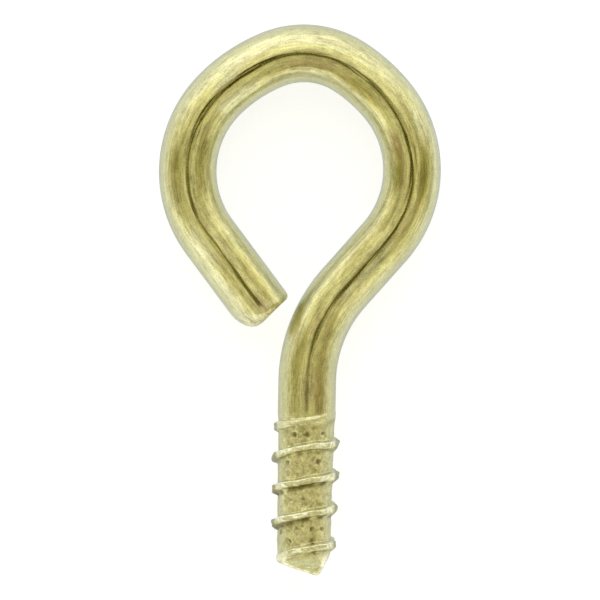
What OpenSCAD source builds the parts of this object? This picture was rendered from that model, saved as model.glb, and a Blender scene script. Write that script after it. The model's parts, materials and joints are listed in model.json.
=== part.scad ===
// Screw eye: one length of round brass wire, threaded and pointed at one end and bent into an open eye at the
// other. It lies flat, with the middle of the wire in the XY plane. The shank runs along Y, and the origin is on
// its middle line where the thread runs out: the thread goes down -Y to the point, and the eye is towards +Y.

/* [Wire] */
// Diameter of the wire
wire_d = 2.2; // [1.6:0.05:2.8]

/* [Shank] */
// Length of the threaded end, from where the thread runs out to the point
thread_l = 6.26; // [4.5:0.01:9]
// Length of plain shank between the thread and the neck
plain_l = 1.15; // [0.4:0.01:6]
// Diameter of the core at the point, where rolling the thread has thinned the wire
core_d = 2.06; // [1.4:0.01:2.2]

/* [Thread] */
// Height of the ridge above the core
ridge_h = 0.18; // [0.05:0.01:0.3]
// Width of the ridge at its foot
foot_w = 0.48; // [0.3:0.01:0.6]
// Width of the ridge at its crest
crest_w = 0.14; // [0.05:0.01:0.25]
// Pitch where the thread runs out
first_pitch = 1.08; // [0.8:0.01:1.3]
// Pitch at the point, where rolling the thread has stretched the wire
last_pitch = 1.42; // [0.9:0.01:1.7]

/* [Point] */
// Distance of the point's edge from the middle of the shank
point_offset = 0.6; // [0:0.01:0.8]
// Angle of the wide face of the point, from square
wide_face_angle = 17; // [5:1:40]
// Angle of the narrow face of the point, from square
narrow_face_angle = 62; // [45:1:80]

/* [Neck] */
// Inside radius of the bend that leads the wire away from the shank
neck_r = 4.4; // [2.5:0.05:7]
// Angle of that bend
neck_angle = 40.5; // [30:0.1:55]
// Length of straight wire between the neck bend and the eye
neck_l = 2.32; // [0.5:0.01:4]

/* [Eye] */
// Inside radius of both sides of the eye
side_r = 3.06; // [2.5:0.01:5]
// Inside radius of both shoulders of the eye, which are flatter
shoulder_r = 4.99; // [3:0.01:8]
// Inside radius of the crown of the eye, which is tighter
crown_r = 2.1; // [1.2:0.01:4]
// Angle of the side next to the neck
near_angle = 80.6; // [70:0.1:95]
// Angle of the shoulder on the neck's side
near_shoulder_angle = 18.7; // [8:0.1:25]
// Angle of the crown
crown_angle = 54.6; // [40:0.1:70]
// Angle of the shoulder on the open side
far_shoulder_angle = 22.4; // [8:0.1:28]
// Angle of the open side
far_angle = 81.9; // [75:0.1:95]
// Gap between the cut end of the wire and the neck
mouth = 0.49; // [0.2:0.01:2]

/* [Cut end] */
// Angle of the sheared face, from square
cut_angle = 10; // [0:1:20]
// Radius that the shear has rolled over the outer edge of the face
roll_r = 0.87; // [0.4:0.01:1]

/* [Hidden] */
$fn = 64;
wire_r = wire_d / 2;
core_r = core_d / 2;

// The wire beyond the plain shank, one stretch after another. A bend is [radius of the wire's middle line, turn],
// where a turn to the left is positive, and a straight is [0, length].
run = [
    [neck_r + wire_r, -neck_angle],
    [0, neck_l],
    [side_r + wire_r, near_angle],
    [shoulder_r + wire_r, near_shoulder_angle],
    [crown_r + wire_r, crown_angle],
    [shoulder_r + wire_r, far_shoulder_angle],
    [side_r + wire_r, far_angle],
];

// A place on the middle line is [x, y, heading]
function ahead_of(place) = [cos(place.z), sin(place.z)];
function left_of(place) = [-sin(place.z), cos(place.z)];
function is_bend(stretch) = stretch[0] > 0;

// The radius of a bend's middle line, negative where the wire turns to the right
function signed_r(bend) = sign(bend[1]) * bend[0];
function bend_centre(place, bend) = [place.x, place.y] + signed_r(bend) * left_of(place);

// The place at the far end of a stretch that starts at a place
function after(place, stretch) =
    let (
        turned = is_bend(stretch) ? [0, 0, place.z + stretch[1]] : place,
        end = is_bend(stretch)
            ? bend_centre(place, stretch) - signed_r(stretch) * left_of(turned)
            : [place.x, place.y] + stretch[1] * ahead_of(place)
    )
    [end.x, end.y, turned.z];

// The place where stretch number i starts
function start_of(i) = i == 0 ? [0, plain_l, 90] : after(start_of(i - 1), run[i - 1]);

// The tail runs on from the eye until the inner corner of its cut face is the mouth away from the neck bend
tail_start = start_of(len(run));
inner_side = [tail_start.x, tail_start.y] + wire_r * left_of(tail_start);
to_neck = bend_centre(start_of(0), run[0]) - inner_side;
reach = neck_r + wire_d + mouth;
tail_l = to_neck * ahead_of(tail_start) - sqrt(reach ^ 2 - (to_neck * left_of(tail_start)) ^ 2)
    + wire_r * tan(cut_angle);

// The sheared face is the top of a round body that flares downwards. It sits towards the inside of the eye, so
// that its rolled edge takes the outer corner off the wire and passes clear of the inner corner.
roll_steps = 12;
flare_angle = 20;
inner_clear = 0.15;
roll_start = wire_r - roll_r;
face_shift = (wire_r + inner_clear - roll_start) / 2;
face_r = face_shift + roll_start;

// Every other stretch is a hair thinner than the wire and runs a little way into its two neighbours, so that
// nowhere do two stretches merely touch
hair = 0.004;
overlap = 0.02;

// The ridge: rings of points in a turn, how far round it starts, how many turns it takes to rise and to fade,
// and how deep in the core its foot and its two ends lie
rings_a_turn = 36;
start_angle = 112;
rising_turns = 0.75;
fading_turns = 0.35;
foot_depth = 0.12;
end_depth = 0.08;
ridge_turns = (thread_l - foot_w) / ((first_pitch + last_pitch) / 2);
pitch_growth = (last_pitch - first_pitch) / ridge_turns;

// Distance down the shank after t turns of the ridge, the core's radius there, and the share of its full height
function way_down(t) = first_pitch * t + pitch_growth * t ^ 2 / 2;
function core_at(way) = wire_r + (core_r - wire_r) * way / thread_l;
function share_of_height(t) = min(1, t / rising_turns, (ridge_turns - t) / fading_turns);

// The ridge's section after t turns: foot, crest, crest and foot, from its upper side to its lower side
function ridge_section(t) =
    let (
        way = way_down(t),
        angle = start_angle - 360 * t,
        foot = core_at(way) - foot_depth,
        crest = core_at(way) - end_depth + (ridge_h + end_depth) * share_of_height(t),
        corners = [[foot, foot_w / 2], [crest, crest_w / 2], [crest, -crest_w / 2], [foot, -foot_w / 2]]
    )
    [for (corner = corners) [corner[0] * sin(angle), corner[1] - way, corner[0] * cos(angle)]];

module thread_ridge() {
    rings = ceil(ridge_turns * rings_a_turn);
    points = [for (i = [0 : rings]) each ridge_section(ridge_turns * i / rings)];
    sides = [
        for (i = [0 : rings - 1], j = [0 : 3])
            let (here = 4 * i + j, next = 4 * i + (j + 1) % 4)
            [here, next, next + 4, here + 4]
    ];
    ends = [[3, 2, 1, 0], [for (j = [0 : 3]) 4 * rings + j]];
    polyhedron(points, concat(sides, ends), convexity = 10);
}

// What the two faces of the point take off the end of the shank: all that lies beyond them
module beyond_point() {
    size = 4 * wire_d;
    translate([point_offset, -thread_l])
        for (angle = [-wide_face_angle, narrow_face_angle])
            rotate([0, 0, angle]) translate([-size / 2, -size, -size / 2]) cube(size);
}

module threaded_shank() {
    difference() {
        rotate([90, 0, 0]) cylinder(r1 = wire_r, r2 = core_r, h = thread_l);
        beyond_point();
    }
    difference() {
        thread_ridge();
        beyond_point();
    }
}

module plain_shank() {
    rotate([-90, 0, 0]) cylinder(r = wire_r, h = plain_l);
}

module at(place) {
    translate([place.x, place.y]) rotate([0, 0, place.z]) children();
}

// Straight wire along +X
module straight(length) {
    rotate([0, 90, 0]) cylinder(r = wire_r, h = length);
}

// Bent wire that sets out along +X, with a radius of its own and run on past both its ends
module bend(radius, turn, tube_r, run_on) {
    extra = run_on / radius * 180 / PI;
    translate([0, sign(turn) * radius])
        rotate([0, 0, (turn > 0 ? -90 : 90 + turn) - extra])
            rotate_extrude(angle = abs(turn) + 2 * extra) translate([radius, 0]) circle(r = tube_r);
}

module sheared_body(depth) {
    rolled_edge = [
        for (i = [0 : roll_steps])
            let (angle = 90 - (90 - flare_angle) * i / roll_steps)
            [face_r + roll_r * cos(angle), roll_r * (sin(angle) - 1)]
    ];
    brim = [face_r + roll_r * cos(flare_angle) + depth * tan(flare_angle), -depth - roll_r];
    rotate_extrude() polygon(concat([[0, 0]], rolled_edge, [brim, [0, brim.y]]));
}

// The straight end of the wire along +X, with its sheared face
module tail() {
    intersection() {
        straight(tail_l + wire_r);
        translate([tail_l, 0])
            rotate([0, 0, cut_angle])
                translate([0, face_shift])
                    rotate([0, 90, 0]) sheared_body(tail_l + wire_r);
    }
}

module screw_eye() {
    color("#c8bd6c") {
        threaded_shank();
        plain_shank();
        for (i = [0 : len(run) - 1]) {
            thin = i % 2 == 0;
            at(start_of(i)) {
                if (!is_bend(run[i])) straight(run[i][1]);
                else bend(run[i][0], run[i][1], thin ? wire_r - hair : wire_r, thin ? overlap : 0);
            }
        }
        at(tail_start) tail();
    }
}

screw_eye();
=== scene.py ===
"""Screw eye: one length of round brass wire, threaded and pointed at one end and bent into an open eye at the
other.

It lies on a pale floor and is seen from straight above. The wire is one mesh, swept along the same middle
line as the CAD model. Lengths are in millimetres and angles in degrees, except where a comment says
otherwise, and lengths turn into metres where Blender objects are made.

A place on the wire is given unrolled: its distance along the wire, which starts where the thread runs out and
grows towards the cut end, its distance to the left of the middle line, which is inward on the ring, and its
height. An angle round the wire starts at its top and grows to the right.
"""

import json
import math

import bpy
import numpy as np
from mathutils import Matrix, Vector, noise

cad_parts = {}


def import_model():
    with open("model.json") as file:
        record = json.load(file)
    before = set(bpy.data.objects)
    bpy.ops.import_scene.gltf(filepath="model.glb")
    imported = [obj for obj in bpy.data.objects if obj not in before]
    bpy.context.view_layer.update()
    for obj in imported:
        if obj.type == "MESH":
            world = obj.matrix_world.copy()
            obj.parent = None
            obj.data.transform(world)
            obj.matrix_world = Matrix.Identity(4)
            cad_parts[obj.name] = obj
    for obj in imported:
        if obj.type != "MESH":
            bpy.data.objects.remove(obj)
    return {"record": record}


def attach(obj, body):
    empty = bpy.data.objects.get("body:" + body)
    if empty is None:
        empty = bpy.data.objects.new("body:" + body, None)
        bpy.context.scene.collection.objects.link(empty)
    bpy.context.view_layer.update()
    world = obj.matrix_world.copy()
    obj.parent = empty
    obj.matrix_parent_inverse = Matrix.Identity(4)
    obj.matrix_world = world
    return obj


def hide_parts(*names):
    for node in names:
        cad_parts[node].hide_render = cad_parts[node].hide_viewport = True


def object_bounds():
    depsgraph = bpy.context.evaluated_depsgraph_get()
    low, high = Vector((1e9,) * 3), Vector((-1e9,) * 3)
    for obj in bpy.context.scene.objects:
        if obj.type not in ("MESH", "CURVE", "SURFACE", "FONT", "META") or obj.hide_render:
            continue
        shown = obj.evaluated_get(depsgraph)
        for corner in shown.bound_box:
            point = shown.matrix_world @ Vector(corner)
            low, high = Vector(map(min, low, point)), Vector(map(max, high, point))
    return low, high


MM = 0.001
NODE = "screw_eye"

# The bent wire beyond the plain shank, one stretch after another. A bend is (inside radius, turn), where a
# turn to the left is positive, and a straight is (0, length).
PLAIN_L = 1.15
BENDS = [(4.4, -40.5), (0, 2.32), (3.06, 80.6), (4.99, 18.7), (2.1, 54.6), (4.99, 22.4), (3.06, 81.9)]
MOUTH = 0.42  # from the cut end's inner corner to the neck

# Thread
CORE_D = 2.0  # at the point
CORE_STEP = 0.035  # how much the rolling thins the core's radius at once
CORE_STEP_L = 0.9
RIDGE_H = 0.21
RIDGE_W = 0.47  # its nominal width, which sets where it ends
CREST_W = 0.2  # at the shank's two sides
FRONT_CREST = 0.7  # share of that width on its front and back
FRONT_LIFT = [-0.06, 0.12, 0.05, 0.07, 0.1]  # how far each turn strays towards the eye on the shank's front
UPPER_FLANK = 0.12  # from the crest's edge to its foot, on the side of the eye
LOWER_FLANK = 0.13  # and on the side of the point
RIGHT_FLANK = 0.14  # how much more the lower flank is drawn out on the shank's right
RIGHT_FLANK_START = 0.6  # sine of the angle from which it is
EDGE_HIGHLIGHT = 1.4  # how far the painted highlight, where the crest is also worn, reaches from its upper edge, in halves of the upper flank
TOP_WEAR_AND_HIGHLIGHT = 1.7  # and from the crest's middle, in halves of its width
TOP_WEAR_AND_HIGHLIGHT_SHARE = 0.95
WOBBLE, WOBBLE_L = 0.045, 0.7  # how far the ridge strays along the shank, and over what length
UNEVEN, UNEVEN_L = 0.5, 0.3  # share by which its height varies, and over what length
FIRST_PITCH = 1.08
LAST_PITCH = 1.42
START_ANGLE = 112.0
RISING_TURNS = 0.75
FADING_TURNS = 0.35

# Point: its edge's distance from the middle, and its two faces' angles from square
POINT_OFFSET = 0.6
WIDE_FACE_ANGLE = 17.0
NARROW_FACE_ANGLE = 62.0
POINT_EDGE_SHARPNESS = 9.0  # of the edge between its two faces, to a millimetre
POINT_RIM_R = 0.13  # rounding where its faces meet the wire's side

# Sheared end
CUT_ANGLE = 8.0
ROLL_R = 0.87  # of the corner that the shears rolled over
ROLL_LIMIT = 0.96  # share of that radius over which it is rolled
INNER_CLEAR = 0.15  # how far beyond the wire's inner side the face would stay flat
TAIL_RIM_R = 0.18  # rounding where the face meets the wire's side
TAIL_OUTER_RIM_R = 0.5  # the same on the ring's outer side, where the wire is sheared off last
OUTER_RIM_START = -0.1  # sine of the angle from which it is wider
TAIL_WEAR_L = 0.3  # how far back from the face the wire is duller
TAIL_WEAR = 0.6

# Relief of the wire's surface: height and length of its irregularities, and how far apart two seeds take them
WAVER_H, WAVER_L, WAVER_W = 0.012, 5.5, 1.1  # slow waves along the drawn wire
LUMP_H, LUMP_L = 0.022, 0.55
SMALL_LUMP_H, SMALL_LUMP_L = 0.016, 0.22
SEED_SHIFT = (17.3, 5.1, 9.7)
SKIN_START, SKIN_FADE = 0.1, 0.5  # where the rolled thread's skin begins, and over what length it sets in

# Pits seen from above: distance below the run-out, distance right of the middle line, radius and depth
PITS = [
    (0.90, -0.47, 0.09, 0.06), (0.87, 0.04, 0.09, 0.06), (0.83, 0.68, 0.07, 0.05),
    (1.90, 0.50, 0.085, 0.07), (1.95, -0.71, 0.08, 0.05), (1.75, -1.00, 0.08, 0.05),
    (3.33, -0.07, 0.07, 0.05), (3.50, -0.04, 0.14, 0.02), (3.38, -0.55, 0.06, 0.04),
    (4.46, 0.72, 0.08, 0.06), (4.60, -0.98, 0.09, 0.06), (4.46, -0.30, 0.08, 0.05),
    (4.45, 0.30, 0.09, 0.06), (4.92, 0.35, 0.08, 0.06), (4.92, -0.61, 0.09, 0.06),
    (5.37, 0.43, 0.08, 0.05), (5.22, 0.82, 0.08, 0.05),
]
DARK_PIT_DEPTH = 0.06  # from which a pit is fully dark
HIDDEN_PITS = 22  # scattered over the far side: their angles round the wire, radii and depth
HIDDEN_ARC = (110, 250)
HIDDEN_PIT_R = (0.06, 0.1)
HIDDEN_PIT_DEPTH = 0.05
HIDDEN_PIT_CLEAR = (0.4, 0.2)  # how far they stay from the run-out and from the point
PIT_REACH = 1.8  # how far a pit reaches, in its radii
PIT_RAGGED_L = 0.1  # length of the irregularities of a pit's edge
RIDGE_SHADE = [0.3, 0.45, 1.0, 1.0, 0.4, 0.3]  # how dark the painted shade is under each turn of the ridge
RIDGE_SHADE_W = 0.11
RIDGE_SHADE_GAP_L = 0.3  # length of the gaps in it

# Patches on the drawn wire, by the name of the mask that holds them: distance along it, distance inward,
# length, width and strength
PATCHES = {
    "browned": [
        (0.9, -0.42, 2.4, 0.45, 1.0), (0.8, 0.05, 1.4, 0.25, 0.6), (10.2, 0.3, 1.8, 0.2, 0.8),
        (17.4, 0.8, 1.4, 0.3, 0.7), (3.4, 0.17, 1.0, 0.2, 0.7), (3.9, -0.2, 1.2, 0.18, 0.6),
        (11.4, 0.45, 1.6, 0.4, 0.9), (16.6, 0.35, 2.4, 0.35, 0.9), (19.4, 0.9, 0.8, 0.2, 0.6),
        (29.85, 0.1, 0.6, 0.45, 1.0), (8.6, -0.1, 1.6, 0.3, 0.4),
    ],
    "olived": [
        (10.1, 0.55, 1.4, 0.35, 1.0), (10.2, -0.45, 1.5, 0.35, 1.0), (14.4, 0.4, 1.7, 0.4, 0.8),
        (22.4, 0.6, 1.6, 0.35, 0.8), (23.6, -0.5, 0.8, 0.3, 0.9), (2.0, 0.4, 1.5, 0.3, 0.5),
        (26.5, -0.3, 1.5, 0.2, 0.3),
    ],
    # painted shade: darker patches, mostly on the ring's inner side
    "deep": [
        (7.2, 0.5, 3.4, 0.4, 0.9), (14.3, 0.52, 2.6, 0.35, 1.0), (28.8, 0.48, 2.6, 0.4, 1.0),
        (18.4, 0.45, 1.0, 0.3, 0.6), (7.7, -0.5, 2.0, 0.35, 0.8), (3.4, -0.46, 1.2, 0.35, 0.7),
        (0.5, -0.5, 0.9, 0.35, 0.5), (2.3, 0.3, 1.0, 0.25, 0.7),
    ],
    # painted highlight: paler, whiter patches, mostly on the ring's outer side
    "pale": [
        (20.2, 0.5, 2.0, 0.5, 1.0), (26.8, -0.42, 1.8, 0.4, 1.0), (6.0, -0.25, 2.4, 0.3, 0.9),
        (11.9, -0.6, 1.2, 0.3, 0.8), (20.0, -0.2, 1.6, 0.2, 0.8), (28.6, -0.6, 2.2, 0.4, 0.6),
    ],
}
PATCH_REACH = 1.5  # how far a patch reaches, in its half length and half width
PATCH_RAGGED_L = 0.35  # size across the wire of the irregularities of its edge
PATCH_STRETCH = 2.5  # how many times longer they are along it

# Where the look of the wire changes: from one distance along it to another
WORN_TIP = (-5.25, -5.8)
DULL_BY_THREAD = (3.2, 0.8)
FULL_WAVES = (3.0, 6.0)
POLISHED = [((7.0, 8.5), (12.5, 14.0)), ((17.8, 19.0), (22.3, 23.5))]  # each stretch's start and its end
# And from one distance beside its middle line to another
# painted shade, greyer, down the wire's sides and the thread's sides
SHADED_SIDES = (0.55, 0.9)
EVEN_SIDES = (0.7, 1.0)
DULL_SIDES = (0.5, 0.8)
SHADED_THREAD_SIDES = (0.5, 0.95)
# painted shade at the ridge's far left and right
SHADED_RIDGE_ENDS = (1.07, 1.18)

# Height of the finest relief, which shades the wire without changing its shape
WAVE_H, WAVE_GROWTH = 0.018, 0.017  # by the thread, and how much more beyond it
STREAK_H = 0.0037
FINE_STREAK_H = 0.0012
GRAIN_H, ROUGH_GRAIN_H = 0.0011, 0.004  # everywhere, and how much more on the thread and at the ends
MOTTLE_H = 0.03
SPECKLE_H = 0.006
RIPPLE_H = 0.03

# Roughness
POLISHED_ROUGH = 0.05
SATIN_ROUGH = 0.05  # added on the rest of the drawn wire
STREAK_ROUGH = 0.05  # added in its drawing lines
SIDE_ROUGH = 0.2  # added at its sides
BY_THREAD_ROUGH = 0.1  # added by the thread
CUT_ROUGH = 0.6  # where the ends were cut
THREAD_ROUGH = 0.35
MOTTLE_ROUGH = 0.3  # added in the high parts of the thread's mottle
WORN_SMOOTH = 0.2  # taken away where the thread is worn

# Colours
CLEAN_BRASS = (0.78, 0.73, 0.38, 1)
OLIVE_BRASS = (0.48, 0.46, 0.15, 1)
BROWN_BRASS = (0.64, 0.52, 0.30, 1)
# painted shade, in the deep patches
SHADE_PATCH_BRASS = (0.56, 0.50, 0.19, 1)
# painted highlight, in the pale patches
HIGHLIGHT_PATCH_BRASS = (0.97, 0.94, 0.66, 1)
ROLLED_BRASS = (0.82, 0.78, 0.43, 1)
TAN_BRASS = (0.74, 0.67, 0.38, 1)
STAINED_BRASS = (0.38, 0.35, 0.11, 1)
RIDGE_END_SHADE_BRASS = (0.42, 0.41, 0.23, 1)  # painted shade at the ridge's far left and right
# darker brass inside the pits, and painted shade under the ridge
PIT_AND_SHADE_BRASS = (0.17, 0.13, 0.02, 1)
# pale brass: wear at the cut ends and the point, and a painted highlight on the thread's crest
WEAR_AND_HIGHLIGHT_BRASS = (0.97, 0.95, 0.68, 1)
SIDE_SHADE_BRASS = (0.605, 0.595, 0.345, 1)  # painted shade, greyer, down the wire's two sides and the thread's
EDGE_TINT = (0.66, 0.73, 0.93, 1)  # what is left of each colour where the metal is seen at a grazing angle
FLOOR_GREY = (0.5, 0.5, 0.6, 1)
FLOOR_LIFT = 0.73  # how much whiter the floor is seen than the tent lights it
FLOOR_HALF = 3.0  # metres

# Brightness of the tent by angle from the middle of its dark opening: the opening itself, and then the tent's
# head end, its diagonals, its sides and its foot
OPENING = [(0, 0.04), (3.7, 0.065)]
HEAD = OPENING + [
    (6.6, 0.45), (14, 0.82), (21, 0.9), (28, 0.95), (36, 1.03), (45, 1.16), (70, 1.3), (95, 1.3),
]
DIAGONAL = OPENING + [
    (6.6, 0.4), (14, 0.6), (28, 0.61), (36, 0.56), (45, 0.69), (55, 0.88), (75, 1.1), (95, 1.08),
]
SIDES = OPENING + [
    (6.6, 0.45), (12, 0.64), (21, 0.65), (36, 0.43), (48, 0.38), (65, 0.48), (85, 0.7), (95, 0.72),
]
FOOT = OPENING + [
    (6.6, 0.32), (14, 0.52), (24, 0.6), (40, 0.48), (55, 0.62), (65, 0.85), (80, 1.25), (95, 1.15),
]
FOOT_BEARING = 257.0  # anticlockwise from the right
# Where each part sets in: cosines of the angle from the line between head and foot, from the head and from
# the foot
DIAGONAL_FADE = (0.12, 0.5)
HEAD_FADE = (0.5, 0.85)
FOOT_FADE = (0.76, 0.95)
# Tint of the tent by its brightness: its dim parts are warm and its bright parts a little cool
TINTS = [
    (0, (1.0, 0.85, 0.02)), (0.2, (1.0, 0.89, 0.22)), (0.38, (1.0, 0.935, 0.44)), (0.54, (1.0, 0.96, 0.61)),
    (0.85, (1.0, 0.99, 0.77)), (1.0, (1.0, 1.0, 0.8)), (1.2, (1.0, 1.02, 1.05)),
]
# Where the opening lies: its angles from straight up, towards the foot and to the right
OPENING_FOOT = 2.2
OPENING_RIGHT = 0.8
LEFT_GAIN = 0.06  # how much brighter the tent is on its left than in its middle

# Camera: where it points, the picture's width and scale in pixels and pixels to a millimetre, and its roll
CAMERA_AT = (-0.339, 4.223)
PICTURE_W = 600
PICTURE_SCALE = 26.27
CAMERA_ROLL = 1.22
CAMERA_DISTANCE = 300.0
CAMERA_CLIP = (0.01, 10.0)  # metres

# Mesh
COLUMNS = 180  # points round the wire
THREAD_STEP = 0.025  # between rings on the thread
WIRE_STEP = 0.14  # between rings elsewhere
FINE_UNTIL = 0.3  # how far beyond the run-out the rings stay close together
STRETCH_L = 1.4  # over which the rings are shifted to meet an end's faces
CAP_RINGS = 16
RIM_STEPS = 5
SHEAR_STEPS = 12  # in which the rolled face's place settles


# ------------------------------------------------------------------------------------------- the middle line
class MiddleLine:
    """The wire's middle line in the XY plane."""

    def __init__(self, wire_r, thread_l):
        self.wire_r, self.thread_l = wire_r, thread_l
        self.pieces = []  # (start distance, x, y, heading in radians, signed radius or 0)
        self.x, self.y, self.heading, self.at = 0.0, -thread_l, math.pi / 2, -thread_l
        self.add(0, thread_l + PLAIN_L)
        neck_centre = self.left(-(BENDS[0][0] + wire_r))
        for inside_r, amount in BENDS:
            self.add(inside_r, amount)
        tail_l = self.to_mouth(neck_centre)
        self.end = self.at + tail_l
        self.add(0, tail_l + wire_r)

    def left(self, distance):
        return (self.x - math.sin(self.heading) * distance, self.y + math.cos(self.heading) * distance)

    def add(self, inside_r, amount):
        radius = math.copysign(inside_r + self.wire_r, amount) if inside_r else 0.0
        length = abs(radius) * math.radians(abs(amount)) if inside_r else amount
        self.pieces.append((self.at, self.x, self.y, self.heading, radius))
        self.x, self.y, self.heading = (float(v[0]) for v in self.ahead(self.pieces[-1], np.array([length])))
        self.at += length

    @staticmethod
    def ahead(piece, distance):
        """x, y and heading at each distance ahead of a piece's start."""
        _, x, y, heading, radius = piece
        if not radius:
            return x + distance * math.cos(heading), y + distance * math.sin(heading), heading + 0 * distance
        turned = heading + distance / radius
        return (
            x + radius * (np.sin(turned) - math.sin(heading)),
            y - radius * (np.cos(turned) - math.cos(heading)),
            turned,
        )

    def to_mouth(self, neck_centre):
        """The tail's length, which leaves the mouth between its inner corner and the neck's outside."""
        corner_x, corner_y = self.left(self.wire_r)
        to_x, to_y = neck_centre[0] - corner_x, neck_centre[1] - corner_y
        along = to_x * math.cos(self.heading) + to_y * math.sin(self.heading)
        across = -to_x * math.sin(self.heading) + to_y * math.cos(self.heading)
        reach = BENDS[0][0] + 2 * self.wire_r + MOUTH
        return along - math.sqrt(reach**2 - across**2) + self.wire_r * math.tan(math.radians(CUT_ANGLE))

    def places(self, s):
        """x, y and heading at each distance in an array."""
        x, y, heading = (np.zeros_like(s) for _ in range(3))
        for number, piece in enumerate(self.pieces):
            here = s >= piece[0] if number else np.ones(s.shape, bool)
            x[here], y[here], heading[here] = self.ahead(piece, s[here] - piece[0])
        return x, y, heading

    def to_space(self, s, inward, up):
        x, y, heading = self.places(s)
        return np.stack([x - np.sin(heading) * inward, y + np.cos(heading) * inward, up], -1)


def around(angle):
    """Inward and upward shares of a radius at each angle round the wire, which starts at its top."""
    return -np.sin(np.radians(angle)), np.cos(np.radians(angle))


# --------------------------------------------------------------------------------------------- surface noise
def noise_at(points, size, seed):
    """Smooth noise from about -1 to 1 at unrolled points, with features of about the given size."""
    shift = seed * np.array(SEED_SHIFT)
    return np.array([noise.noise(p) for p in (points / size + shift).tolist()])


def smooth(share):
    share = np.clip(share, 0, 1)
    return share * share * (3 - 2 * share)


# ---------------------------------------------------------------------------------------------------- thread
class Thread:
    """How far the threaded shank's surface stands from its middle line."""

    def __init__(self, wire_r, thread_l):
        self.wire_r, self.thread_l = wire_r, thread_l
        self.turns = (thread_l - RIDGE_W) / ((FIRST_PITCH + LAST_PITCH) / 2)
        self.growth = (LAST_PITCH - FIRST_PITCH) / self.turns

    def path(self, t, angle):
        """Distance down the shank of the ridge's middle at each turn and each angle."""
        crossing = np.clip(np.round(t - START_ANGLE / 360), 0, len(FRONT_LIFT) - 1).astype(int)
        lift = np.array(FRONT_LIFT)[crossing] * np.maximum(0, np.cos(np.radians(angle))) ** 2
        return FIRST_PITCH * t + self.growth * t**2 / 2 - lift

    def core(self, way):
        slope = (self.wire_r - CORE_STEP - CORE_D / 2) * np.clip(way / self.thread_l, 0, 1)
        return self.wire_r - CORE_STEP * smooth(way / CORE_STEP_L) - slope

    def ridge(self, way, angle):
        """Height of the ridge over the core at each distance down the shank and each angle, and how much its
        crest is worn there and painted with a highlight."""
        height, crest_wear_and_highlight = np.zeros_like(way), np.zeros_like(way)
        crest = CREST_W * (1 - (1 - FRONT_CREST) * np.cos(np.radians(angle)) ** 2)
        rightward = (np.sin(np.radians(angle)) - RIGHT_FLANK_START) / (1 - RIGHT_FLANK_START)
        lower_flank = LOWER_FLANK + RIGHT_FLANK * smooth(rightward)
        for turn in range(-1, math.ceil(self.turns) + 2):
            t = (START_ANGLE - angle) / 360 + turn
            near = (t > 0) & (t < self.turns)
            share = np.minimum(np.minimum(1, t / RISING_TURNS), (self.turns - t) / FADING_TURNS)
            below = way - self.path(t, angle)
            flank = np.where(below < 0, UPPER_FLANK, lower_flank)
            rise = smooth(1 - (np.abs(below) - crest / 2) / flank)
            height = np.where(near, np.maximum(height, RIDGE_H * share * rise), height)
            # painted highlight along the crest's upper edge and middle, where the crest is also worn
            upper_edge = smooth(EDGE_HIGHLIGHT - np.abs(below + crest / 2) / UPPER_FLANK * 2)
            middle = TOP_WEAR_AND_HIGHLIGHT_SHARE * smooth(TOP_WEAR_AND_HIGHLIGHT - np.abs(below) / crest * 2)
            crest_wear_and_highlight = np.where(near, np.maximum(crest_wear_and_highlight, share * np.maximum(upper_edge, middle)), crest_wear_and_highlight)
        return height, np.clip(crest_wear_and_highlight, 0, 1)


# ------------------------------------------------------------------------------------------------- both ends
def point_face(x):
    """y of the point's two faces over the shank's width, from the point's edge, which is worn round."""
    wide = (POINT_OFFSET - x) * math.tan(math.radians(WIDE_FACE_ANGLE))
    narrow = (x - POINT_OFFSET) * math.tan(math.radians(NARROW_FACE_ANGLE))
    return np.logaddexp(wide * POINT_EDGE_SHARPNESS, narrow * POINT_EDGE_SHARPNESS) / POINT_EDGE_SHARPNESS


def sheared_face(inward, up, wire_r):
    """How far beyond the wire's nominal end its sheared face lies, at each place on its section."""
    roll_start = wire_r - ROLL_R
    shift = (wire_r + INNER_CLEAR - roll_start) / 2
    flat_r = shift + roll_start
    cut = math.radians(CUT_ANGLE)
    beyond = -math.tan(cut) * inward
    for _ in range(SHEAR_STEPS):
        side = -math.sin(cut) * beyond + math.cos(cut) * inward - shift
        rolled = np.clip(np.hypot(side, up) - flat_r, 0, ROLL_R * ROLL_LIMIT)
        drop = ROLL_R - np.sqrt(ROLL_R**2 - rolled**2)
        beyond = (-drop - math.sin(cut) * inward) / math.cos(cut)
    return beyond


def tail_rim(angle):
    """Rounding of the sheared end's rim at each angle round the wire."""
    outward = smooth(np.sin(np.radians(angle)) - OUTER_RIM_START)
    return TAIL_RIM_R + (TAIL_OUTER_RIM_R - TAIL_RIM_R) * outward


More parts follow.
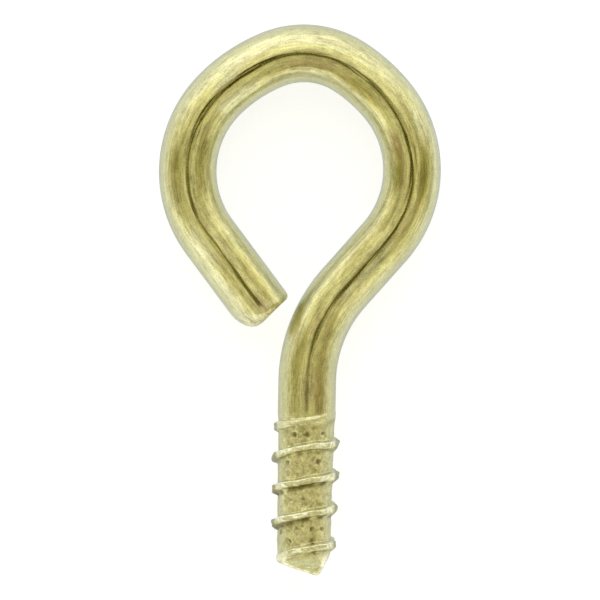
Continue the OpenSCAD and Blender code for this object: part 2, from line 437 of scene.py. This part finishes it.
# ------------------------------------------------------------------------------------------- rings of points
def side_rings(line, thread):
    """Rings along the wire's side: each point's distance along, angle, radius, and the crest's wear and
    painted highlight.
    """
    wire_r, thread_l = line.wire_r, line.thread_l
    thread_rings = round((thread_l + FINE_UNTIL) / THREAD_STEP)
    wire_rings = round((line.end - FINE_UNTIL) / WIRE_STEP)
    on_thread = np.linspace(-thread_l, FINE_UNTIL, thread_rings, endpoint=False)
    on_wire = np.linspace(FINE_UNTIL, line.end, wire_rings)
    every_angle = np.arange(COLUMNS) * 360 / COLUMNS
    s, angle = np.meshgrid(np.concatenate([on_thread, on_wire]), every_angle, indexing="ij")
    inward, up = around(angle)

    # Shift the last rings at both ends to the faces that cut them.
    to_face = point_face(-inward * CORE_D / 2) + POINT_RIM_R
    s = s + np.clip((STRETCH_L - thread_l - s) / STRETCH_L, 0, 1) * to_face
    to_face = sheared_face(inward * wire_r, up * wire_r, wire_r) - tail_rim(angle)
    s = s + np.clip((s - line.end + STRETCH_L) / STRETCH_L, 0, 1) * to_face

    plain = np.stack([s, inward * wire_r, up * wire_r], -1).reshape(-1, 3)
    way = -s + WOBBLE * noise_at(plain, WOBBLE_L, seed=11).reshape(s.shape)
    uneven = 1 + UNEVEN * noise_at(plain, UNEVEN_L, seed=12).reshape(s.shape)
    ridge, crest_wear_and_highlight = thread.ridge(way, angle)
    radius = np.where(s < 0, thread.core(-s) + ridge * uneven, wire_r)
    return s, angle, radius, np.where(s < 0, crest_wear_and_highlight, 0)


def cap(radius, face, rim_r, sign):
    """Rings that close an end, from the rim to the middle: distance along, inward, up and the surface's lean,
    which is in radians from the wire's side."""
    inward, up = around(np.arange(COLUMNS) * 360 / COLUMNS)
    rings = []
    for turn in np.linspace(0, math.pi / 2, RIM_STEPS + 1)[1:]:
        rho = radius - rim_r * (1 - math.cos(turn))
        along = face(inward * rho, up * rho) - sign * rim_r * (1 - math.sin(turn))
        rings.append((along, inward * rho, up * rho, sign * turn + 0 * rho))
    for share in np.linspace(1, 0, CAP_RINGS, endpoint=False)[1:]:
        rho = (radius - rim_r) * share
        rings.append((face(inward * rho, up * rho), inward * rho, up * rho, sign * math.pi / 2 + 0 * rho))
    return rings


def all_points(line, s, angle, radius):
    """The wire's points, ring after ring and then the middle of each end: distance along, inward, up and
    lean. The numbers of rings before, along and beyond the wire's side come with them."""

    def point_end(inward, up):
        return -line.thread_l + point_face(-inward)

    def cut_end(inward, up):
        return line.end + sheared_face(inward, up, line.wire_r)

    inward, up = around(angle)
    before = cap(radius[0], point_end, POINT_RIM_R, -1)[::-1]
    sides = [(s[i], inward[i] * radius[i], up[i] * radius[i], 0 * s[i]) for i in range(len(s))]
    beyond = cap(radius[-1], cut_end, tail_rim(angle[0]), 1)
    rings = np.array(before + sides + beyond).transpose(0, 2, 1).reshape(-1, 4)
    middle = np.zeros(1)
    middles = [
        (point_end(middle, middle)[0], 0, 0, -math.pi / 2),
        (cut_end(middle, middle)[0], 0, 0, math.pi / 2),
    ]
    return np.concatenate([rings, np.array(middles)]), (len(before), len(sides), len(beyond))


def ring_faces(count):
    """Quads between neighbouring rings, and a fan of triangles round the middle of each end."""
    index = np.arange(count * COLUMNS).reshape(count, COLUMNS)
    following = np.roll(index, -1, axis=1)
    quads = np.stack([index[:-1], index[1:], following[1:], following[:-1]], -1).reshape(-1, 4)
    first, last = count * COLUMNS, count * COLUMNS + 1
    start_fan = [(first, int(a), int(b)) for a, b in zip(index[0], following[0])]
    end_fan = [(last, int(b), int(a)) for a, b in zip(index[-1], following[-1])]
    return quads.tolist() + start_fan + end_fan


# ---------------------------------------------------------------------------------------------------- relief
def pits(points, wire_r, thread_l):
    """Depth of the pits at unrolled points, and how dark each point is inside one."""
    places = []
    for down, right, size, deep in PITS:
        places.append((-down, -right, math.sqrt(wire_r**2 - right**2), size, deep))
    upper, lower = HIDDEN_PIT_CLEAR
    dice = np.random.default_rng(5)
    for _ in range(HIDDEN_PITS):
        inward, up = around(dice.uniform(*HIDDEN_ARC))
        down, size = dice.uniform(upper, thread_l - lower), dice.uniform(*HIDDEN_PIT_R)
        places.append((-down, inward * wire_r, up * wire_r, size, HIDDEN_PIT_DEPTH))
    depth, dark = np.zeros(len(points)), np.zeros(len(points))
    ragged = 0.5 * noise_at(points, PIT_RAGGED_L, seed=31)
    for along, inward, up, size, deep in places:
        away = np.linalg.norm(points - np.array([along, inward, up]), axis=1)
        inside = smooth(PIT_REACH - away / size + ragged)
        depth = np.maximum(depth, deep * inside)
        dark = np.maximum(dark, min(1, deep / DARK_PIT_DEPTH) * inside)
    return depth, dark


def ridge_shade(points, thread):
    """Painted shade, dark, lying under the ridge, most of it on two of its turns."""
    angle = np.degrees(np.arctan2(-points[:, 1], points[:, 2])) % 360
    shown = np.zeros(len(points))
    for turn, amount in enumerate(RIDGE_SHADE):
        t = (START_ANGLE - angle) / 360 % 1 + turn
        below = -points[:, 0] - thread.path(t, angle) - CREST_W * FRONT_CREST / 2 - LOWER_FLANK
        shown = np.maximum(shown, amount * np.exp(-((below / RIDGE_SHADE_W) ** 2)))
    return shown * smooth(0.75 + 1.3 * noise_at(points, RIDGE_SHADE_GAP_L, seed=9))


def patches(points, places):
    """Strength of soft long patches on the upper side of the wire."""
    shown = np.zeros(len(points))
    ragged = 0.5 * noise_at(points * np.array([1 / PATCH_STRETCH, 1, 1]), PATCH_RAGGED_L, seed=21)
    for along, inward, length, width, strength in places:
        away = np.hypot((points[:, 0] - along) / length * 2, (points[:, 1] - inward) / width * 2)
        shown = np.maximum(shown, strength * smooth(PATCH_REACH - away + ragged))
    return shown * (points[:, 2] > 0)


def roughened(points, thread):
    """Height of the surface's irregularities at unrolled points, with the masks of the thread's skin and of
    its pits and of the painted shade under its ridge."""
    height = WAVER_H * noise_at(points * np.array([WAVER_W / WAVER_L, 1, 1]), WAVER_W, seed=1)
    skin = smooth((SKIN_START - points[:, 0]) / SKIN_FADE)
    here = skin > 0
    rolled = points[here]
    lumps = LUMP_H * noise_at(rolled, LUMP_L, seed=2) + SMALL_LUMP_H * noise_at(rolled, SMALL_LUMP_L, seed=3)
    depth, dark = pits(rolled, thread.wire_r, thread.thread_l)
    height[here] += skin[here] * lumps - depth
    pitted = np.zeros(len(points))
    pitted[here] = np.maximum(dark, ridge_shade(rolled, thread))
    return height, skin, pitted


# -------------------------------------------------------------------------------------------------- the wire
def build_wire(wire_r, thread_l):
    line, thread = MiddleLine(wire_r, thread_l), Thread(wire_r, thread_l)
    s, angle, radius, crest_wear_and_highlight = side_rings(line, thread)
    points, counts = all_points(line, s, angle, radius)
    unrolled, lean = points[:, :3], points[:, 3]

    height, skin, pitted = roughened(unrolled, thread)
    rho = np.maximum(np.hypot(unrolled[:, 1], unrolled[:, 2]), 1e-6)
    outward = 1 + height * np.cos(lean) / rho
    along = unrolled[:, 0] + height * np.sin(lean)
    vertices = line.to_space(along, unrolled[:, 1] * outward, unrolled[:, 2] * outward)

    side = slice(counts[0] * COLUMNS, (counts[0] + counts[1]) * COLUMNS)
    crest, cut = np.zeros(len(points)), np.abs(np.sin(lean))
    # the crest mask holds the crest's wear and its painted highlight
    crest[side] = crest_wear_and_highlight.ravel()
    cut[side] = TAIL_WEAR * smooth(1 - (s[-1] - s) / TAIL_WEAR_L).ravel()
    masks = {"rolled": skin, "pitted": pitted, "crest": crest, "cut": cut}
    masks |= {name: patches(unrolled, places) for name, places in PATCHES.items()}

    mesh = bpy.data.meshes.new("brass_wire")
    mesh.from_pydata((vertices * MM).tolist(), [], ring_faces(sum(counts)))
    place = mesh.attributes.new("unrolled", "FLOAT_VECTOR", "POINT")
    place.data.foreach_set("vector", unrolled.astype(np.float32).ravel())
    for name, values in masks.items():
        mask = mesh.attributes.new(name, "FLOAT", "POINT")
        mask.data.foreach_set("value", values.astype(np.float32))
    mesh.polygons.foreach_set("use_smooth", [True] * len(mesh.polygons))
    mesh.update()
    wire = bpy.data.objects.new("brass_wire", mesh)
    bpy.context.scene.collection.objects.link(wire)
    return wire


# ---------------------------------------------------------------------------------------------- shader nodes
class Nodes:
    """Short ways to add nodes to a tree."""

    def __init__(self, tree):
        self.tree = tree

    def add(self, kind, **settings):
        node = self.tree.nodes.new(kind)
        for name, value in settings.items():
            setattr(node, name, value)
        return node

    def feed(self, socket, value):
        if isinstance(value, bpy.types.NodeSocket):
            self.tree.links.new(value, socket)
        else:
            socket.default_value = value

    def maths(self, operation, *values):
        node = self.add("ShaderNodeMath", operation=operation)
        for socket, value in zip(node.inputs, values):
            self.feed(socket, value)
        return node.outputs[0]

    def plus(self, first, *others):
        for other in others:
            first = self.maths("ADD", first, other)
        return first

    def minus(self, first, second):
        return self.maths("SUBTRACT", first, second)

    def times(self, first, *others):
        for other in others:
            first = self.maths("MULTIPLY", first, other)
        return first

    def most(self, first, second):
        return self.maths("MAXIMUM", first, second)

    def swing(self, noise_value, strength):
        """A noise brought to swing round 0."""
        return self.times(self.minus(noise_value, 0.5), strength)

    def shift(self, share, first, second):
        """The number first where share is 0, and second where it is 1."""
        return self.plus(first, self.times(share, self.minus(second, first)))

    def between(self, value, start, stop):
        """0 before start, 1 beyond stop, and smooth between them."""
        node = self.add("ShaderNodeMapRange", interpolation_type="SMOOTHSTEP")
        self.feed(node.inputs["Value"], value)
        node.inputs["From Min"].default_value = start
        node.inputs["From Max"].default_value = stop
        return node.outputs["Result"]

    def mix(self, share, first, second, blend="MIX"):
        node = self.add("ShaderNodeMixRGB", blend_type=blend)
        for socket, value in zip(node.inputs, (share, first, second)):
            self.feed(socket, value)
        return node.outputs["Color"]

    def ramp(self, value, stops):
        """A colour ramp whose stops are (value, grey or colour)."""
        node = self.add("ShaderNodeValToRGB")
        node.color_ramp.interpolation = "EASE"
        elements, top = node.color_ramp.elements, stops[-1][0]
        elements.remove(elements[1])
        for number, (at, colour) in enumerate(stops):
            stop = elements[0] if number == 0 else elements.new(at / top)
            stop.position = at / top
            stop.color = (*colour, 1) if isinstance(colour, tuple) else (colour, colour, colour, 1)
        self.feed(node.inputs["Fac"], self.maths("DIVIDE", value, float(top)))
        return node.outputs["Color"]


# -------------------------------------------------------------------------------------------------- material
class Brass:
    """The wire's material, from the masks that its mesh holds and from noises over the unrolled wire."""

    def __init__(self):
        self.material = bpy.data.materials.new("satin_brass")
        self.material.use_nodes = True
        nodes = self.nodes = Nodes(self.material.node_tree)
        self.unrolled = self.attribute("unrolled", "Vector")
        axes = nodes.add("ShaderNodeSeparateXYZ")
        nodes.feed(axes.inputs[0], self.unrolled)
        self.along, inward, _ = axes.outputs
        self.beside = nodes.maths("ABSOLUTE", inward)
        self.rolled, self.pitted, self.ends = (self.attribute(name) for name in ("rolled", "pitted", "cut"))
        self.drawn = nodes.minus(1.0, self.rolled)

        # Noises of the drawn wire
        self.clouds = self.noise((0.8, 2.2, 2.2), offset=(2.0, 5.0, 1.0))
        self.streaks = self.noise((0.7, 6.0, 6.0), detail=3.0, bent=0.4)
        self.fine_streaks = self.noise((2.5, 15.0, 15.0), offset=(3.0, 1.0, 2.0), bent=0.5)
        # Noises of the rolled thread, and of both
        self.ripples = self.noise((9.0, 2.5, 2.5), offset=(1.0, 2.0, 8.0), bent=0.5)
        self.speckles = self.noise((9.0, 9.0, 9.0), offset=(5.0, 8.0, 2.0))
        self.blotch = self.noise((2.2, 2.2, 2.2), detail=3.0, offset=(4.0, 4.0, 4.0))
        self.mottle = self.noise((4.5, 4.5, 4.5), detail=3.0)
        self.grain = self.noise((20.0, 20.0, 20.0))

        # Places on the thread: its worn tip, its crest, worn, painted with a highlight and broken up, and its
        # two sides, painted with shade
        self.tip = nodes.between(self.along, *WORN_TIP)
        tip_side = nodes.times(self.tip, nodes.minus(1.0, nodes.times(self.ends, 0.7)))
        broken = nodes.plus(0.4, nodes.times(nodes.between(self.mottle, 0.38, 0.55), 0.6))
        self.worn_and_highlit = nodes.most(tip_side, nodes.times(self.attribute("crest"), broken))
        uneven = nodes.plus(self.beside, nodes.swing(self.blotch, 0.7))
        self.shaded_flanks = nodes.times(nodes.between(uneven, *SHADED_THREAD_SIDES), 0.8)

    def attribute(self, name, output="Fac"):
        return self.nodes.add("ShaderNodeAttribute", attribute_name=name).outputs[output]

    def noise(self, scale, detail=2.0, offset=(0.0, 0.0, 0.0), bent=0.0):
        """Noise over the unrolled wire, with the given features to a millimetre along, inward and up."""
        place = self.nodes.add("ShaderNodeMapping")
        self.nodes.feed(place.inputs["Vector"], self.unrolled)
        place.inputs["Scale"].default_value = scale
        place.inputs["Location"].default_value = offset
        node = self.nodes.add("ShaderNodeTexNoise")
        self.nodes.feed(node.inputs["Vector"], place.outputs["Vector"])
        node.inputs["Scale"].default_value = 1.0
        node.inputs["Detail"].default_value = detail
        node.inputs["Roughness"].default_value = 0.5
        node.inputs["Distortion"].default_value = bent
        return node.outputs["Fac"]

    def drawn_colour(self):
        """Clean brass with olive and brown patches, deeper patches of painted shade, paler patches of painted
        highlight and warm streaks, and painted shade, greyer, at its sides.
        """
        nodes = self.nodes
        olive = self.noise((0.45, 1.6, 1.6), detail=4.0, offset=(7.0, 0.0, 4.0))
        olived = nodes.most(self.attribute("olived"), nodes.times(nodes.between(olive, 0.5, 0.68), 0.5))
        colour = nodes.mix(nodes.times(olived, 0.75), CLEAN_BRASS, OLIVE_BRASS)
        brown = self.noise((0.6, 2.2, 2.2), detail=4.0, offset=(1.0, 6.0, 2.0))
        browned = nodes.most(self.attribute("browned"), nodes.times(nodes.between(brown, 0.53, 0.7), 0.35))
        colour = nodes.mix(nodes.times(browned, 0.75), colour, BROWN_BRASS)
        # painted shade in the deep patches and painted highlight in the pale ones
        colour = nodes.mix(nodes.times(self.attribute("deep"), 0.8), colour, SHADE_PATCH_BRASS)
        colour = nodes.mix(nodes.times(self.attribute("pale"), 0.85), colour, HIGHLIGHT_PATCH_BRASS)
        warm = self.noise((0.9, 9.0, 9.0), offset=(9.0, 3.0, 5.0), bent=0.5)
        colour = nodes.mix(nodes.times(nodes.between(warm, 0.52, 0.7), 0.45), colour, BROWN_BRASS)
        # painted shade, greyer, down the wire's two sides
        shaded_side = nodes.times(nodes.between(self.beside, *SHADED_SIDES), nodes.plus(0.45, self.clouds))
        colour = nodes.mix(shaded_side, colour, SIDE_SHADE_BRASS)
        return nodes.mix(nodes.times(self.ends, 0.45), colour, WEAR_AND_HIGHLIGHT_BRASS)

    def thread_colour(self):
        """Tan and stained brass, with a crest worn and painted with a highlight, a worn tip, painted shade,
        greyer, on its sides and darker painted shade at its far edges.
        """
        nodes = self.nodes
        colour = nodes.mix(nodes.between(self.blotch, 0.35, 0.6), ROLLED_BRASS, TAN_BRASS)
        stained = nodes.times(nodes.between(self.mottle, 0.46, 0.66), 0.6)
        colour = nodes.mix(stained, colour, STAINED_BRASS)
        # painted shade, greyer, on the thread's two sides
        colour = nodes.mix(self.shaded_flanks, colour, SIDE_SHADE_BRASS)
        # the worn tip, and the crest's wear with its painted highlight
        colour = nodes.mix(nodes.times(self.worn_and_highlit, 0.9), colour, WEAR_AND_HIGHLIGHT_BRASS)
        # painted shade at the ridge's far left and right
        return nodes.mix(nodes.between(self.beside, *SHADED_RIDGE_ENDS), colour, RIDGE_END_SHADE_BRASS)

    def tone(self):
        """Drawing lines, clouds and grain on the wire, and speckles and grain on the thread."""
        nodes = self.nodes
        drawn = nodes.plus(
            nodes.swing(self.streaks, 0.95),
            nodes.swing(self.fine_streaks, 0.9),
            nodes.swing(self.clouds, 0.6),
            nodes.swing(self.mottle, 0.5),
        )
        even = nodes.minus(1.0, nodes.times(nodes.between(self.beside, *EVEN_SIDES), 0.65))
        clean = nodes.minus(0.95, nodes.times(nodes.most(self.worn_and_highlit, self.shaded_flanks), 0.45))
        rippled = nodes.times(nodes.minus(self.ripples, 0.37), 0.9)
        return nodes.plus(
            nodes.times(drawn, nodes.times(self.drawn, even)),
            nodes.times(nodes.swing(self.speckles, clean), self.rolled),
            nodes.times(rippled, self.tip),
            nodes.swing(self.grain, 0.75),
            1.0,
        )

    def roughness(self):
        """Satin wire with two more polished stretches, duller at its sides, by the thread and on it, and
        where its ends were cut."""
        nodes = self.nodes
        satin = nodes.plus(
            POLISHED_ROUGH,
            nodes.times(self.fine_streaks, STREAK_ROUGH),
            nodes.times(nodes.between(self.beside, *DULL_SIDES), SIDE_ROUGH),
            nodes.times(nodes.between(self.along, *DULL_BY_THREAD), BY_THREAD_ROUGH),
            SATIN_ROUGH,
        )
        for begins, ends in POLISHED:
            stretch = nodes.minus(nodes.between(self.along, *begins), nodes.between(self.along, *ends))
            satin = nodes.minus(satin, nodes.times(stretch, SATIN_ROUGH))
        satin = nodes.shift(self.ends, satin, CUT_ROUGH)
        dull = nodes.plus(THREAD_ROUGH, nodes.times(self.mottle, MOTTLE_ROUGH))
        dull = nodes.minus(dull, nodes.times(self.worn_and_highlit, WORN_SMOOTH))
        return nodes.shift(self.rolled, satin, dull)

    def relief(self):
        """Waves and drawing lines along the wire, and grain, stronger on the thread and at the ends."""
        nodes = self.nodes
        waves = self.noise((0.22, 2.4, 2.4))
        wave_h = nodes.plus(WAVE_H, nodes.times(nodes.between(self.along, *FULL_WAVES), WAVE_GROWTH))
        lines = nodes.plus(
            nodes.times(waves, wave_h),
            nodes.times(self.streaks, STREAK_H),
            nodes.times(self.fine_streaks, FINE_STREAK_H),
        )
        grain_h = nodes.plus(GRAIN_H, nodes.times(nodes.most(self.rolled, self.ends), ROUGH_GRAIN_H))
        return nodes.plus(
            nodes.times(lines, self.drawn),
            nodes.times(self.grain, grain_h),
            nodes.times(self.mottle, self.rolled, MOTTLE_H),
            nodes.times(self.speckles, self.rolled, SPECKLE_H),
            nodes.times(self.ripples, self.tip, RIPPLE_H),
        )

    def finish(self):
        nodes, shader = self.nodes, self.material.node_tree.nodes["Principled BSDF"]
        shader.inputs["Metallic"].default_value = 1.0
        shader.inputs["Specular Tint"].default_value = EDGE_TINT
        colour = nodes.mix(self.rolled, self.drawn_colour(), self.thread_colour())
        # darker inside the pits, and painted shade under each turn of the ridge
        colour = nodes.mix(nodes.times(self.pitted, 0.85), colour, PIT_AND_SHADE_BRASS)
        nodes.feed(shader.inputs["Base Color"], nodes.mix(1.0, colour, self.tone(), "MULTIPLY"))
        nodes.feed(shader.inputs["Roughness"], self.roughness())
        bump = nodes.add("ShaderNodeBump")
        bump.inputs["Distance"].default_value = MM
        nodes.feed(bump.inputs["Height"], self.relief())
        nodes.feed(shader.inputs["Normal"], bump.outputs["Normal"])
        return self.material


# ------------------------------------------------------------------------------------------------ the studio
def add_floor(level):
    """A large pale floor, which is seen nearly white and still takes the wire's shadow."""
    mesh = bpy.data.meshes.new("floor")
    corners = [(x * FLOOR_HALF, y * FLOOR_HALF, level) for x, y in ((-1, -1), (1, -1), (1, 1), (-1, 1))]
    mesh.from_pydata(corners, [], [(0, 1, 2, 3)])
    floor = bpy.data.objects.new("floor", mesh)
    bpy.context.scene.collection.objects.link(floor)
    material = bpy.data.materials.new("pale_floor")
    material.use_nodes = True
    shader = material.node_tree.nodes["Principled BSDF"]
    shader.inputs["Base Color"].default_value = FLOOR_GREY
    shader.inputs["Roughness"].default_value = 0.9
    shader.inputs["Specular IOR Level"].default_value = 0.0
    shader.inputs["Emission Color"].default_value = (1, 1, 1, 1)
    nodes = Nodes(material.node_tree)
    rays = nodes.add("ShaderNodeLightPath").outputs
    seen = nodes.most(nodes.most(rays["Is Camera Ray"], rays["Is Glossy Ray"]), rays["Is Transmission Ray"])
    nodes.feed(shader.inputs["Emission Strength"], nodes.times(seen, FLOOR_LIFT))
    mesh.materials.append(material)


def tent_walls(nodes, x, y, z):
    """Brightness of the tent in a direction from its middle."""
    tilt = nodes.maths("DEGREES", nodes.maths("ARCCOSINE", z))
    flat = nodes.most(nodes.maths("SQRT", nodes.plus(nodes.times(x, x), nodes.times(y, y))), 0.001)
    headward, sideways = nodes.maths("DIVIDE", y, flat), nodes.maths("DIVIDE", x, flat)
    foot_angle = math.radians(FOOT_BEARING)
    footward = nodes.plus(
        nodes.times(headward, math.sin(foot_angle)), nodes.times(sideways, math.cos(foot_angle))
    )
    head, diagonal, sides, foot = (nodes.ramp(tilt, stops) for stops in (HEAD, DIAGONAL, SIDES, FOOT))
    walls = nodes.mix(nodes.between(nodes.maths("ABSOLUTE", headward), *DIAGONAL_FADE), sides, diagonal)
    walls = nodes.mix(nodes.between(headward, *HEAD_FADE), walls, head)
    walls = nodes.mix(nodes.between(footward, *FOOT_FADE), walls, foot)
    return nodes.mix(1.0, walls, nodes.minus(1.0, nodes.times(x, LEFT_GAIN)), "MULTIPLY")


def add_tent():
    """A white tent round the object, brighter at its head end, with a dark opening for the camera above."""
    world = bpy.data.worlds.new("tent")
    bpy.context.scene.world = world
    world.use_nodes = True
    nodes = Nodes(world.node_tree)
    turned = nodes.add("ShaderNodeVectorRotate", rotation_type="EULER_XYZ")
    turned.inputs["Rotation"].default_value = (math.radians(-OPENING_FOOT), math.radians(-OPENING_RIGHT), 0)
    nodes.feed(turned.inputs["Vector"], nodes.add("ShaderNodeTexCoord").outputs["Generated"])
    axes = nodes.add("ShaderNodeSeparateXYZ")
    nodes.feed(axes.inputs[0], turned.outputs["Vector"])
    walls = tent_walls(nodes, *axes.outputs)
    tinted = nodes.mix(1.0, walls, nodes.ramp(walls, TINTS), "MULTIPLY")
    seen = nodes.add("ShaderNodeLightPath").outputs["Is Camera Ray"]
    shown = nodes.mix(seen, tinted, (1.0, 1.0, 1.0, 1.0))
    nodes.feed(world.node_tree.nodes["Background"].inputs["Color"], shown)


def add_camera():
    data = bpy.data.cameras.new("camera")
    data.lens = data.sensor_width * CAMERA_DISTANCE / (PICTURE_W / PICTURE_SCALE)
    data.clip_start, data.clip_end = CAMERA_CLIP
    camera = bpy.data.objects.new("camera", data)
    camera.location = (CAMERA_AT[0] * MM, CAMERA_AT[1] * MM, CAMERA_DISTANCE * MM)
    camera.rotation_euler = (0, 0, math.radians(CAMERA_ROLL))
    bpy.context.scene.collection.objects.link(camera)
    bpy.context.scene.camera = camera


def main():
    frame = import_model()
    cad_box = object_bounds()
    mounts = {mount["name"]: mount for mount in frame["record"]["mounts"]}
    wire_r = mounts["eye"]["dims"]["length_mm"] / 2
    thread_l = mounts["screw_thread"]["dims"]["length_mm"]
    wire = build_wire(wire_r, thread_l)
    wire.data.materials.append(Brass().finish())
    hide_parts(NODE)
    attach(wire, "root")
    add_floor(cad_box[0].z)
    add_tent()
    add_camera()
    bpy.context.scene.view_settings.view_transform = "Standard"


main()
